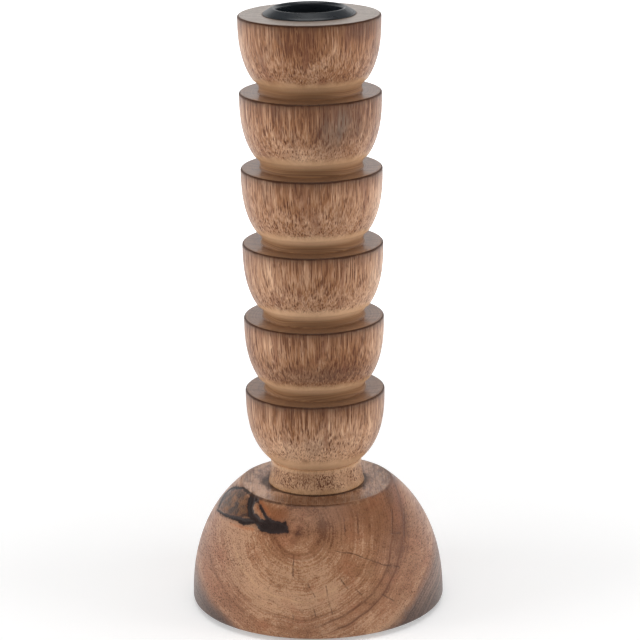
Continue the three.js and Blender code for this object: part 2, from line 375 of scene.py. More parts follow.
class Finish:
    """A material, or the surroundings, under construction, with the nodes that the finishes below share."""

    def __init__(self, name, kind="materials", shader="Principled BSDF"):
        self.owner = getattr(bpy.data, kind).new(name)
        self.owner.use_nodes = True
        self.tree = self.owner.node_tree
        self.shader = self.tree.nodes[shader]

    def put(self, inputs, sockets):
        pairs = sockets.items() if isinstance(sockets, dict) else enumerate(sockets)
        for key, value in pairs:
            if isinstance(value, Field):
                self.tree.links.new(value.socket, inputs[key])
            else:
                inputs[key].default_value = value

    def node(self, kind, settings, sockets, output=0):
        """Adds a node: first its settings, then its sockets by name or number, each a constant or a Field."""
        made = self.tree.nodes.new(kind)
        for key, value in settings.items():
            setattr(made, key, value)
        self.put(made.inputs, sockets)
        return Field(self, made.outputs[output])

    def surface(self, sockets):
        """Sets or links the sockets of the shader itself."""
        self.put(self.shader.inputs, sockets)
        return self.owner

    def place(self):
        """Object coordinates in millimetres."""
        point = self.node("ShaderNodeTexCoord", {}, {}, "Object")
        return self.node("ShaderNodeVectorMath", {"operation": "SCALE"}, {"Vector": point, "Scale": 1 / MM})

    def axes(self, vector):
        return [self.node("ShaderNodeSeparateXYZ", {}, [vector], axis) for axis in "XYZ"]

    def scaled(self, vector, sizes):
        """The vector divided by a size along each axis, so that a pattern has that size."""
        steps = tuple(1 / size for size in sizes)
        return self.node("ShaderNodeVectorMath", {"operation": "MULTIPLY"}, [vector, steps])

    def shifted(self, vector, offset):
        return self.node("ShaderNodeVectorMath", {"operation": "ADD"}, [vector, offset])

    def noise(self, vector, sizes, detail=2.0, rough=0.5, twist=0.0, output="Fac"):
        sockets = {"Vector": self.scaled(vector, sizes), "Scale": 1.0, "Detail": detail, "Roughness": rough,
                   "Distortion": twist}
        return self.node("ShaderNodeTexNoise", {"noise_dimensions": "3D"}, sockets, output)

    def bands(self, value, size, detail=2.0, rough=0.5):
        """Uneven bands along one value, each about size wide."""
        sockets = {"W": value / size, "Scale": 1.0, "Detail": detail, "Roughness": rough}
        return self.node("ShaderNodeTexNoise", {"noise_dimensions": "1D"}, sockets, "Fac")

    def joined(self, x, y, z):
        return self.node("ShaderNodeCombineXYZ", {}, [x, y, z])

    def cells(self, vector, output="Distance"):
        """Distance to the nearest of points scattered one to a unit square, or the colour of that point."""
        sockets = {"Vector": vector, "Scale": 1.0, "Randomness": 1.0}
        return self.node("ShaderNodeTexVoronoi", {"voronoi_dimensions": "2D"}, sockets, output)

    def step(self, low, high, value):
        """Runs smoothly from 0 where the value is low to 1 where it is high."""
        settings = {"interpolation_type": "SMOOTHSTEP"}
        return self.node("ShaderNodeMapRange", settings, [value, low, high, 0.0, 1.0])

    def near(self, value, middle, reach, core=0.0):
        """1 within core of the middle, falling smoothly to 0 at reach on either side."""
        return self.step(reach, core, abs(value - middle))

    def mix(self, amount, first, second):
        settings = {"data_type": "RGBA", "blend_type": "MIX", "clamp_factor": True}
        return self.node("ShaderNodeMix", settings, {0: amount, 6: first, 7: second}, 2)

    def coats(self, colour, layers):
        """Lays layers over a colour in turn: each an amount and a tint, a Field or red, green and blue."""
        for amount, tint in layers:
            colour = self.mix(amount, colour, tint if isinstance(tint, Field) else paint(*tint))
        return colour

    def attribute(self, name):
        return self.node("ShaderNodeAttribute", {"attribute_name": name}, {}, "Fac")

    def seen(self):
        """1 where the camera sees it, in a gloss or through glass too, and 0 for the light it sends on."""
        rays = ("Is Camera Ray", "Is Glossy Ray", "Is Transmission Ray")
        camera, gloss, glass = [self.node("ShaderNodeLightPath", {}, {}, ray) for ray in rays]
        return camera + gloss + glass

    def bump(self, height, depth):
        """Normal of a surface that rises by height times depth in millimetres."""
        return self.node("ShaderNodeBump", {}, {"Height": height, "Distance": depth * MM, "Strength": 1.0})


BLACK = (0, 0, 0, 1)
SATIN = {"Specular IOR Level": 0.15, "Coat Weight": 0.35, "Coat Roughness": 0.3}


def paint(red, green, blue):
    """A colour as a picture shows it, from 0 to 255, in the linear values that a shader takes."""
    parts = [value / 255 for value in (red, green, blue)]
    linear = [part / 12.92 if part <= 0.04045 else ((part + 0.055) / 1.055) ** 2.4 for part in parts]
    return (*linear, 1.0)


def pores(wood, across, up, along, size, reach):
    """Dark vessels: tubes along the grain, scattered one to a square of the given size, some left out.
    Each is broken at about its reach, so that they are dashes along the grain and specks across it."""
    plane = wood.joined(across / size, up / size, 0.0)
    chosen = wood.node("ShaderNodeSeparateColor", {}, [wood.cells(plane, "Color")], "Red")
    broken = wood.noise(wood.joined(across, up, along), (size * 1.3, size * 1.3, reach), detail=1)
    tube = 1 - wood.step(0.16, 0.36, wood.cells(plane))
    return tube * wood.step(0.05, 0.35, chosen) * wood.step(0.38, 0.52, broken)


def stem_wood():
    """Tan wood with upright grain: uneven growth bands about a far pith, streaks, vessels and soft stains,
    scorched toward each rim and smooth and pale at the lower end of each bowl. The stains carry painted light
    and shade too, the flats are painted with shade and with reflections of the bright surroundings, and the
    foot's upper edge has a painted highlight."""
    wood = Finish("stem_wood")
    place = wood.place()
    drift = wood.noise(place, (30, 30, 70), detail=1, output="Color")
    sway = wood.node("ShaderNodeVectorMath", {"operation": "MULTIPLY_ADD"},
                     [drift, (5, 5, 0), (-2.5, -2.5, 0)])
    point = wood.shifted(place, sway)
    x, y, z = wood.axes(point)
    across = x - STEM_PITH[0]
    deep = y - STEM_PITH[1]
    ring = (across * across + deep * deep) ** 0.5
    growth = wood.bands(ring, 2.6, detail=3, rough=0.6)
    streak = wood.noise(point, (1.4, 1.4, 30), detail=3, rough=0.6)
    fibre = wood.noise(point, (0.4, 0.4, 9), detail=2, rough=0.6)
    cloud = wood.noise(place, (13, 13, 22), detail=2)

    below = wood.attribute("below")
    flat = wood.attribute("flat")
    neck = wood.attribute("neck")
    foot = wood.attribute("foot")
    worn = wood.noise(place, (5, 5, 5), detail=3)

    upright = streak * 0.42 + fibre * 0.62
    # Lighter and darker patches: partly real stains, partly painted light and shade
    stain_and_painted_shading = wood.attribute("pale_stain_and_painted_light") - wood.attribute("dark_stain_and_painted_shade")
    tone = growth * 0.42 + upright * (1 - foot * 0.85) + foot * 0.58 + cloud * 0.3 - 0.38 + stain_and_painted_shading * 0.26
    dull = wood.noise(place, (9, 9, 16), detail=2, twist=0.6)
    ash = wood.attribute("ash") + wood.step(0.58, 0.7, dull) * 0.2
    red = wood.noise(wood.shifted(place, (40, 7, 3)), (4, 4, 26), detail=2)

    low = wood.step(19.0, 22.5, below + (worn - 0.5) * 3) * (1 - foot)
    plain = (1 - low) * (1 - flat) * (1 - neck)
    bead = wood.step(BASE_TOP + 3, BASE_TOP + 1, z + (worn - 0.5) * 2) * foot
    # Painted highlight: the upper edge of the foot is painted lighter, as if it caught the light
    shoulder = wood.step(BASE_TOP + FOOT_HEIGHT - 1.8, BASE_TOP + FOOT_HEIGHT - 0.8, z) * foot
    specks = wood.step(0.48, 0.57, wood.noise(place, (0.42, 0.42, 0.8), detail=2, rough=0.6))
    specks = specks * (1 - bead * 0.7) * (1 - shoulder * 0.7) * (0.5 + 0.5 * wood.step(0.36, 0.58, worn))
    vessels = pores(wood, x, y, z, 0.8, 2.8) + pores(wood, x, y, z, 0.52, 2.4) * 0.85
    vessels = vessels * (1 - foot * 0.75) + specks * foot
    vessels = vessels * wood.step(21.2, 19.8, below + (worn - 0.5) * 2.5 - foot * 20)
    share = 0.6 + 0.4 * wood.step(0.64, 0.4, tone * 0.6 + cloud * 0.4) + foot * 0.35
    vessels = vessels * (1 - flat) * (1 - neck) * share
    scorch = wood.step(7, 0, below + (streak - 0.5) * 6 + (fibre - 0.5) * 5) * plain * (1 - foot)
    singe = wood.step(2.6, 0.3, below + (worn - 0.5) * 1.6) * plain * (1 - foot)
    burn = wood.step(0.95, 0.35, below + (worn - 0.5) * 1.3) * (1 - flat) * (1 - neck) * (1 - foot)

    clean = wood.mix(wood.step(-0.6, 0.8, stain_and_painted_shading), paint(184, 145, 110), paint(223, 182, 144))
    # Flats: their brown is matched to the shade under the bowl above; the lighter left and right (by |x|) and
    # the top flat's pale grey are painted reflections of the bright surroundings
    crown = wood.step(STEM_TOP - 2, STEM_TOP - 1, z)
    lathe = wood.bands((x * x + y * y) ** 0.5 + z, 0.5, detail=2)
    ledge = wood.coats(paint(134, 100, 74), [
        (wood.step(7, 18, abs(x)), (158, 119, 88)),
        (crown, (190, 173, 160)),
        (wood.step(0.46, 0.66, growth * 0.7 + worn * 0.3) * 0.4, (112, 84, 64)),
        ((streak - 0.5) * 0.7 + (lathe - 0.5) * 0.5 + 0.2, (76, 54, 41)),
    ])
    grooved = wood.mix(wood.step(0.35, 0.65, lathe), paint(149, 109, 76), paint(117, 82, 55))
    colour = wood.coats(paint(104, 56, 20), [
        (wood.step(0.26, 0.44, tone), (149, 101, 65)),
        (wood.step(0.42, 0.56, tone), (178, 134, 102)),
        (wood.step(0.56, 0.74, tone), (212, 170, 137)),
        (ash, (112, 96, 84)),
        (wood.step(0.56, 0.72, red) * 0.6, (126, 78, 52)),
        (foot * 0.35 + bead * 0.25, (168, 128, 88)),
        (shoulder * 0.35, (200, 162, 124)),
        (vessels * 0.9, (86, 40, 9)),
        (scorch * 0.55, (80, 42, 14)),
        (singe * 0.5, (58, 31, 12)),
        (low * 0.85, clean),
        (flat, ledge),
        (neck * 0.95, grooved),
        (burn * (0.75 + 0.2 * wood.step(0.36, 0.56, cloud)), (57, 28, 7)),
    ])

    gloss = 0.42 - flat * (0.2 - crown * 0.08) + neck * 0.16 + vessels * 0.2 + burn * 0.3
    gloss = gloss + (cloud - 0.5) * 0.12
    height = fibre * 0.5 - vessels
    normal = wood.bump(height * plain, 0.09)
    return wood.surface({**SATIN, "Base Color": colour, "Roughness": gloss, "Normal": normal})


def ring_lines(wood, ring, turn, marks):
    """Worn lines along growth rings, each over its own part of the turn about the pith."""
    total = 0
    for radius, half_width, strength, middle, half_turn in marks:
        reach = wood.near(turn, middle, half_turn, half_turn * 0.6)
        total = total + wood.near(ring, radius, half_width) * reach * strength
    return total


def cut_lines(wood, across, up, lines):
    """Straight lines: each is 1 along its middle and falls to 0 at its half width and past its ends."""
    total = 0
    for from_across, from_up, to_across, to_up, half_width in lines:
        length = math.hypot(to_across - from_across, to_up - from_up)
        level, steep = (to_across - from_across) / length, (to_up - from_up) / length
        right, rise = across - from_across, up - from_up
        inside = wood.near(right * level + rise * steep, length / 2, length / 2 + 0.5, length / 2 - 0.5)
        total = total + wood.near(right * steep - rise * level, 0.0, half_width) * inside
    return total


def base_wood():
    """Warm brown wood with level grain: growth rings about a pith that runs front to back, a knot with bark,
    fine checks, dark outer wood, and soot on the flat about the foot. Also painted light and shade: a
    highlight along the bark's edges, shade on the dome's left and right sides, a contact shadow round the
    foot, and shade on the flat in front of it."""
    wood = Finish("base_wood")
    place = wood.place()
    x, y, z = wood.axes(place)
    waver = wood.noise(place, (16, 45, 16), detail=2)
    across = x - PITH[0]
    rise = (z - PITH[2]) * math.cos(PITH_RISE) + (y - PITH[1]) * math.sin(PITH_RISE)
    spread = (across * across + rise * rise) ** 0.5
    ring = spread - across * RING_LEAN + (waver - 0.5) * 5 * wood.step(2, 14, spread)
    growth = wood.bands(ring, 3.4, detail=4, rough=0.62)
    lines = wood.bands(ring, 0.75, detail=2)
    cloud = wood.noise(place, (15, 30, 15), detail=3)
    fibre = wood.noise(place, (0.5, 9, 0.5), detail=2, rough=0.6)

    turn = rise.math("ARCTAN2", rise, across) * math.degrees(1)
    round_pith = wood.joined(ring, turn * 0.25, y * 0.1)
    dashes = wood.step(0.56, 0.7, wood.noise(round_pith, (0.7, 2.6, 1), detail=2))
    mottle = wood.noise(wood.shifted(place, (5, 8, 2)), (2.4, 9, 2.4), detail=3, rough=0.6)
    fine = lines * (0.16 + 0.2 * wood.step(6, 20, spread))
    tone = growth * 0.42 + cloud * 0.66 + fibre * 0.52 + fine + mottle * 0.4
    tone = tone + wood.step(15, 2, z) * 0.1 - 0.635
    sunny = wood.step(12, -14, across * 0.7 + rise * 0.7)
    tone = tone + wood.near(ring, 17, 17, 7) * (sunny * 0.17 - 0.03)
    for radius, half_width, lift, sunny_lift in RING_BANDS:
        tone = tone + wood.near(ring, radius, half_width) * (lift + sunny * (sunny_lift - lift))
    rosy = wood.noise(wood.shifted(place, (21, 3, 9)), (9, 20, 9), detail=3)
    # Painted shade: the dome's left and right sides are darker, more so on the left
    painted_side_shade = wood.step(18, 34, abs(x)) * (0.28 + 0.12 * wood.step(4, -4, x))
    vessels = pores(wood, x, z, y, 0.8, 4) + pores(wood, x, z, y, 0.55, 3)
    vessels = vessels * (0.5 + 0.5 * wood.step(0.64, 0.42, cloud * 0.6 + mottle * 0.4))
    worn = 0.35 + 0.65 * wood.step(0.34, 0.58, wood.noise(round_pith, (3, 4, 2), detail=3, rough=0.65))
    outer = ring + wood.step(0, -30, across) * 6.5 + (cloud - 0.5) * 7 + (fibre - 0.5) * 3
    sap = wood.coats(paint(68, 54, 48), [
        (wood.step(0.3, 0.7, lines * 0.5 + fibre * 0.5), (142, 114, 101)),
        (wood.step(15, 3, z) * 0.7, (40, 37, 39)),
    ])

    rag = wood.noise(place, (1.3, 1.3, 1.3), detail=3, rough=0.65)
    torn = wood.noise(wood.shifted(place, (3, 1, 7)), (3.4, 3.4, 3.4), detail=2)
    heart = wood.attribute("heart") + (rag - 0.5) * 0.9
    broken = wood.noise(wood.shifted(place, (9, 4, 2)), (2.6, 2.6, 2.6), detail=2)
    lean_up = z * math.cos(LEAN) + y * math.sin(LEAN)
    checks = cut_lines(wood, x + (rag - 0.5) * 0.7, lean_up + (torn - 0.5) * 0.9, CHECKS)
    checks = checks * (0.3 + 0.7 * wood.step(0.37, 0.53, broken)) * wood.step(3, -3, y)
    glow = wood.step(3.2, 0.0, wood.attribute("glow") + (rag - 0.5))
    # Painted highlight along the bark's edges
    painted_bark_edge_highlight = wood.step(1.1, -0.3, wood.attribute("painted_bark_edge_highlight") + (rag - 0.5) * 0.6)
    knot = wood.step(0.7, -0.9, wood.attribute("knot") + (rag - 0.5) * 1.6)
    swirl = wood.noise(place, (3.4, 3.4, 3.4), detail=2, rough=0.5, twist=0.3)
    flesh = wood.mix(wood.step(0.38, 0.64, swirl), paint(34, 18, 9), paint(112, 72, 40))
    from_bark = wood.attribute("bark") + (rag - 0.5) * 1.3 + (torn - 0.5) * 1.1
    bark = wood.step(0.45, -0.05, from_bark)

    shade = wood.step(9, -3, wood.attribute("shade") + (cloud - 0.5) * 10)
    crease = wood.attribute("crease") * wood.step(24, -4, x + (rag - 0.5) * 30) * wood.step(-2, -13, y)
    flat = wood.attribute("flat")
    # Painted shade: the flat in front of the foot is darker, standing in for the foot's shade and its
    # reflection
    front = wood.step(-11, -21, y) * wood.step(-26, -14, x)
    smoke = wood.noise(place, (5, 5, 5), detail=3, rough=0.6)
    ridged = wood.noise(place, (1.3, 4, 1.3), detail=3, rough=0.6) * 0.6 + cloud * 0.4
    upper = wood.mix(wood.step(0.38, 0.6, ridged), paint(134, 96, 74), paint(222, 182, 152))
    # Soot at the sides of the foot, and a painted contact shadow round it
    stain_and_painted_shading = wood.step(0.35, 0.95, wood.attribute("soot_and_contact_shadow") + (smoke - 0.5) * 1.5)

    colour = wood.coats(paint(110, 70, 45), [
        (wood.step(0.28, 0.43, tone), (145, 100, 70)),
        (wood.step(0.42, 0.57, tone), (159, 113, 82)),
        (wood.step(0.56, 0.74, tone), (188, 146, 114)),
        (wood.step(0.5, 0.72, rosy) * 0.4, (164, 104, 74)),
        (wood.step(0.46, 0.28, rosy) * 0.35, (157, 119, 88)),
        (painted_side_shade, (130, 92, 74)),
        (dashes * 0.32, (104, 58, 36)),
        (vessels * (0.26 + growth * 0.2 + painted_side_shade * 0.8), (80, 41, 20)),
        (ring_lines(wood, ring, turn, DARK_RINGS) * worn, (94, 54, 34)),
        (ring_lines(wood, ring, turn, PALE_RINGS) * worn, (204, 164, 124)),
        (wood.step(46, 50.5, outer) * 0.9, sap),
        (wood.step(1.9, 0.2, heart) * 0.5, (104, 62, 40)),
        (wood.step(0.35, 0.0, heart) * 0.6, (70, 40, 27)),
        (checks * 0.75, (78, 48, 34)),
        (glow * 0.7, (126, 74, 40)),
        (painted_bark_edge_highlight * 0.55, (172, 98, 54)),
        (knot * 0.92, flesh),
        (wood.step(1.8, 0.0, from_bark) * 0.5, (78, 46, 34)),
        (bark * 0.97, wood.mix(torn, paint(17, 10, 10), paint(46, 32, 30))),
        (shade * 0.5, (112, 70, 44)),
        (flat * 0.7, upper),
        (flat * front * 0.75, (98, 64, 43)),
        (crease * wood.step(0.2, 0.5, smoke) * 0.85, (62, 38, 26)),
        (stain_and_painted_shading * 0.8, (56, 36, 26)),
    ])

    gloss = 0.42 - flat * 0.18 + vessels * 0.2 + bark * 0.2 + stain_and_painted_shading * 0.3 + (cloud - 0.5) * 0.12
    height = fibre * 0.4 - vessels - checks * 2 + bark * (rag - 0.5) * 3
    normal = wood.bump(height, 0.09)
    return wood.surface({**SATIN, "Base Color": colour, "Roughness": gloss, "Normal": normal})


def cup_metal():
    """Satin black coating with a fine orange peel, unevenly rubbed."""
    metal = Finish("cup_metal")
    place = metal.place()
    peel = metal.noise(place, (0.5, 0.5, 0.5), detail=2)
    rubbed = metal.noise(place, (3, 3, 1.2), detail=4, rough=0.7)
    colour = metal.mix(rubbed, paint(20, 24, 28), paint(37, 43, 49))
    gloss = 0.22 + rubbed * 0.14
    normal = metal.bump(peel, 0.02)
    return metal.surface({"Base Color": colour, "Roughness": gloss, "Normal": normal, "Metallic": 0.0})


def fastener_steel():
    """Zinc-plated steel: cloudy spangle, with a duller film in places."""
    metal = Finish("fastener_steel")
    place = metal.place()
    spangle = metal.noise(place, (1.6, 1.6, 1.6), detail=3, rough=0.6)
    film = metal.noise(place, (4, 4, 4), detail=2)
    colour = metal.coats(paint(158, 160, 164), [
        (spangle, (206, 208, 210)),
        (metal.step(0.5, 0.75, film) * 0.4, (150, 140, 118)),
    ])
    gloss = 0.28 + spangle * 0.2
    normal = metal.bump(spangle, 0.01)
    return metal.surface({"Base Color": colour, "Roughness": gloss, "Normal": normal, "Metallic": 1.0})


def pad_felt():
    """Pressed wool felt: matted fibres in two directions, with stray lighter hairs."""
    felt = Finish("pad_felt")
    place = felt.place()
    mat = felt.noise(place, (0.35, 0.35, 0.35), detail=4, rough=0.7, twist=1.2)
    hair = felt.noise(place, (0.15, 1.1, 0.4), detail=2) * felt.noise(place, (1.1, 0.15, 0.4), detail=2)
    colour = felt.coats(paint(42, 37, 33), [
        (felt.step(0.3, 0.7, mat), (72, 65, 59)),
        (felt.step(0.3, 0.42, hair) * 0.5, (118, 110, 102)),
    ])
    normal = felt.bump(mat + hair, 0.12)
    return felt.surface({"Base Color": colour, "Roughness": 0.96, "Normal": normal, "Sheen Weight": 0.3})


def from_strokes(strokes, across, up):
    """Signed distance to strokes of changing width: for each stretch from a to b, |p - a - t (b - a)| less
    the half width at t, with t the place along the stretch, and the least over all of them."""
    nearest = np.full(across.shape, FAR)
    for stroke in strokes:
        for (ax, ay, aw), (bx, by, bw) in zip(stroke, stroke[1:]):
            dx, dy = bx - ax, by - ay
            t = np.clip(((across - ax) * dx + (up - ay) * dy) / (dx * dx + dy * dy), 0, 1)
            apart = np.hypot(across - ax - t * dx, up - ay - t * dy)
            nearest = np.minimum(nearest, apart - aw - t * (bw - aw))
    return nearest


def drawn(strokes):
    """Field of the distance to strokes on the front of the base. Behind a line that curves round the knot,
    y = SIDE_END - min((up - KNOT_UP)^2 / 4, SIDE_DIP), it grows with the distance behind that line."""
    def field(grid):
        x, y, z = np.moveaxis(grid, -1, 0)
        up = z * math.cos(LEAN) + y * math.sin(LEAN)
        side_end = SIDE_END - np.minimum((up - KNOT_UP) ** 2 / 4, SIDE_DIP)
        return from_strokes(strokes, x, up) + np.maximum(y - side_end, 0)
    return field


def domed_base():
    """Dome, flat and rounded lower edge, the socket and the counterbore, with the bark sunk a little."""
    height = BASE_TOP - BASE_BOTTOM
    radius_at = swell(DOME_RADIUS, FLAT_RADIUS, height, DOME_FULLNESS)
    rise = DOME_EDGE_ROUND + (height - DOME_EDGE_ROUND) * np.sin(np.linspace(0, np.pi / 2, 160))
    side = np.column_stack([radius_at(rise), BASE_BOTTOM + rise])
    side = side[side[:, 1] < BASE_TOP - FLAT_EDGE_ROUND * 0.35]
    brow = line(side[-1], (FLAT_RADIUS - FLAT_EDGE_ROUND, BASE_TOP), 4)[1:]
    edge = arc((DOME_RADIUS - DOME_EDGE_ROUND, BASE_BOTTOM + DOME_EDGE_ROUND), DOME_EDGE_ROUND, -90, 0, 8)
    flat = line(brow[-1], (SPIGOT_SOCKET_RADIUS, BASE_TOP), 34)[1:]
    socket_floor = BASE_TOP - SPIGOT_SOCKET_DEPTH
    socket = line(flat[-1], (SPIGOT_SOCKET_RADIUS, socket_floor), 6)[1:]
    ledge = line(socket[-1], (SCREW_HOLE_RADIUS, socket_floor), 5)[1:]
    hole = line(ledge[-1], (SCREW_HOLE_RADIUS, washer_high[2]), 6)[1:]
    roof = line(hole[-1], (COUNTERBORE_RADIUS, washer_high[2]), 6)[1:]
    bore = line(roof[-1], (COUNTERBORE_RADIUS, BASE_BOTTOM), 8)[1:]
    under = line(bore[-1], edge[0], 14)[1:-1]
    profile = np.concatenate([edge, side[1:], brow, flat, socket, ledge, hole, roof, bore, under, edge[:1]])

    def sunk(grid):
        hollow = smooth(0.3, -0.9, drawn(BARK)(grid))
        outward = grid * [1, 1, 0.6] - [0, 0, BASE_BOTTOM]
        outward /= np.linalg.norm(outward, axis=-1, keepdims=True)
        return grid - BARK_DEPTH * hollow[..., None] * outward

    out = np.hypot(profile[:, 0] - FLAT_RADIUS, profile[:, 1] - BASE_TOP)
    on_flat = np.abs(profile[:, 1] - BASE_TOP) < LEVEL

    def soot(grid):
        x, y, z = np.moveaxis(grid, -1, 0)
        away = np.hypot(x, y)
        beside = smooth(0.45, 0.95, np.abs(x) / away) * np.where(x < 0, 0.8, 0.6)
        near = smooth(FOOT_RADIUS + 6, FOOT_RADIUS, away) * (0.2 + beside)
        # Dark finish in the joint widened into a painted contact shadow round the foot
        painted_contact_shadow = smooth(FOOT_RADIUS + 2.2, FOOT_RADIUS + 0.5, away)
        return np.maximum(near, painted_contact_shadow) * (np.abs(z - BASE_TOP) < LEVEL)

    fields = {
        "bark": drawn(BARK),
        "knot": drawn(KNOT),
        "glow": drawn(GLOW),
        "painted_bark_edge_highlight": drawn(BARK_EDGE_HIGHLIGHT),
        "heart": drawn(HEART),
        "shade": drawn(SHADE),
        "crease": smooth(1.2, 0.2, out),
        "soot_and_contact_shadow": soot,
        "flat": on_flat * smooth(FLAT_RADIUS, FLAT_RADIUS - 1.5, profile[:, 0]),
    }
    return turned("domed_base", profile, BASE_AROUND, fields, sunk)


def bowl_profile(rim, height, end_radius, heel):
    """One bowl from its lower end up over the rounded rim. A heel leaves the neck in a soft bend."""
    radius_at = swell(RIM_RADIUS, end_radius, height, BOWL_FULLNESS)
    lowest = height - (HEEL_RISE if heel else 0)
    depth = RIM_ROUND + (lowest - RIM_ROUND) * np.sin(np.linspace(np.pi / 2, 0, 40))
    side = np.column_stack([radius_at(depth), rim - depth])
    over = arc((RIM_RADIUS - RIM_ROUND, rim - RIM_ROUND), RIM_ROUND, 0, 90, 8)[1:]
    if not heel:
        return np.concatenate([side, over])
    turn = bend((NECK_RADIUS, rim - height - HEEL_DROP), (NECK_RADIUS, rim - height), side[0], 7)[:-1]
    return np.concatenate([turn, side, over])


# Stains of the stem, partly real stains and partly painted light and shade: turn from the front in degrees,
# height, half turn, half height, and strength
PALE_STAINS_AND_PAINTED_LIGHT = [
    (-14, 176, 10, 9, 0.35), (0, 168, 22, 4, 0.5), (62, 172, 14, 5, 0.35), (-14, 154, 9, 5, 0.4),
    (75, 150, 16, 12, 0.6), (0, 139, 40, 2.5, 0.9), (-36, 126, 18, 9, 0.5), (-42, 131, 10, 5, 0.3),
    (0, 128, 9, 5, 0.3), (36, 128, 12, 4, 0.25), (68, 121, 20, 11, 0.6), (0, 112, 45, 3, 1.2),
    (-30, 99, 18, 6, 0.7), (72, 100, 14, 9, 0.55), (0, 85, 40, 2.5, 0.5), (10, 67, 55, 10, 0.4),
    (-28, 70, 9, 10, 0.4), (28, 71, 8, 5, 0.3), (56, 70, 10, 9, 0.35), (-8, 60, 50, 4, 0.75),
    (150, 200, 25, 10, 0.4), (200, 120, 30, 12, 0.4), (235, 165, 20, 8, 0.35),
]
DARK_STAINS_AND_PAINTED_SHADE = [
    (48, 213, 24, 4, 0.85), (50, 208, 30, 6, 0.35), (-36, 207, 24, 8, 0.45), (0, 209, 12, 7, 0.35),
    (42, 196, 22, 3, 0.4), (-62, 193, 26, 3, 0.5), (28, 180, 18, 9, 0.35), (50, 181, 18, 9, 0.45),
    (22, 186, 12, 4, 0.4), (-42, 185, 10, 4, 0.3), (14, 177, 10, 6, 0.5), (-62, 166, 26, 3, 0.4),
    (14, 153, 9, 8, 0.25), (30, 160, 10, 3, 0.25), (14, 128, 9, 7, 0.4), (-76, 123, 16, 12, 0.5),
    (28, 103, 9, 4, 0.4), (20, 97, 16, 7, 0.4), (40, 91, 10, 6, 0.3), (0, 92, 50, 5, 0.6),
    (-76, 97, 16, 12, 0.5), (-76, 69, 14, 12, 0.2), (170, 170, 25, 9, 0.4), (210, 205, 20, 8, 0.35),
    (140, 100, 25, 8, 0.4), (230, 70, 30, 8, 0.3),
]
ASH = [
    (22, 181, 16, 9, 0.45), (45, 178, 16, 6, 0.25), (14, 176, 9, 6, 0.25), (45, 213, 15, 3, 0.2),
    (0, 91, 50, 4, 0.25), (160, 140, 30, 8, 0.3), (215, 90, 25, 8, 0.3),
]


def stained(spots):
    """Field of soft spots around the stem, with turn and rise from the middle of each spot: the sum of
    strength * exp(-(turn / half turn)^2 - (rise / half height)^2)."""
    def field(grid):
        angle = np.degrees(np.arctan2(grid[..., 0], -grid[..., 1]))
        total = np.zeros(angle.shape)
        for turn, height, half_turn, half_height, strength in spots:
            apart = np.mod(angle - turn + 180, 360) - 180
            rise = grid[..., 2] - height
            total += strength * np.exp(-(apart / half_turn) ** 2 - (rise / half_height) ** 2)
        return total
    return field


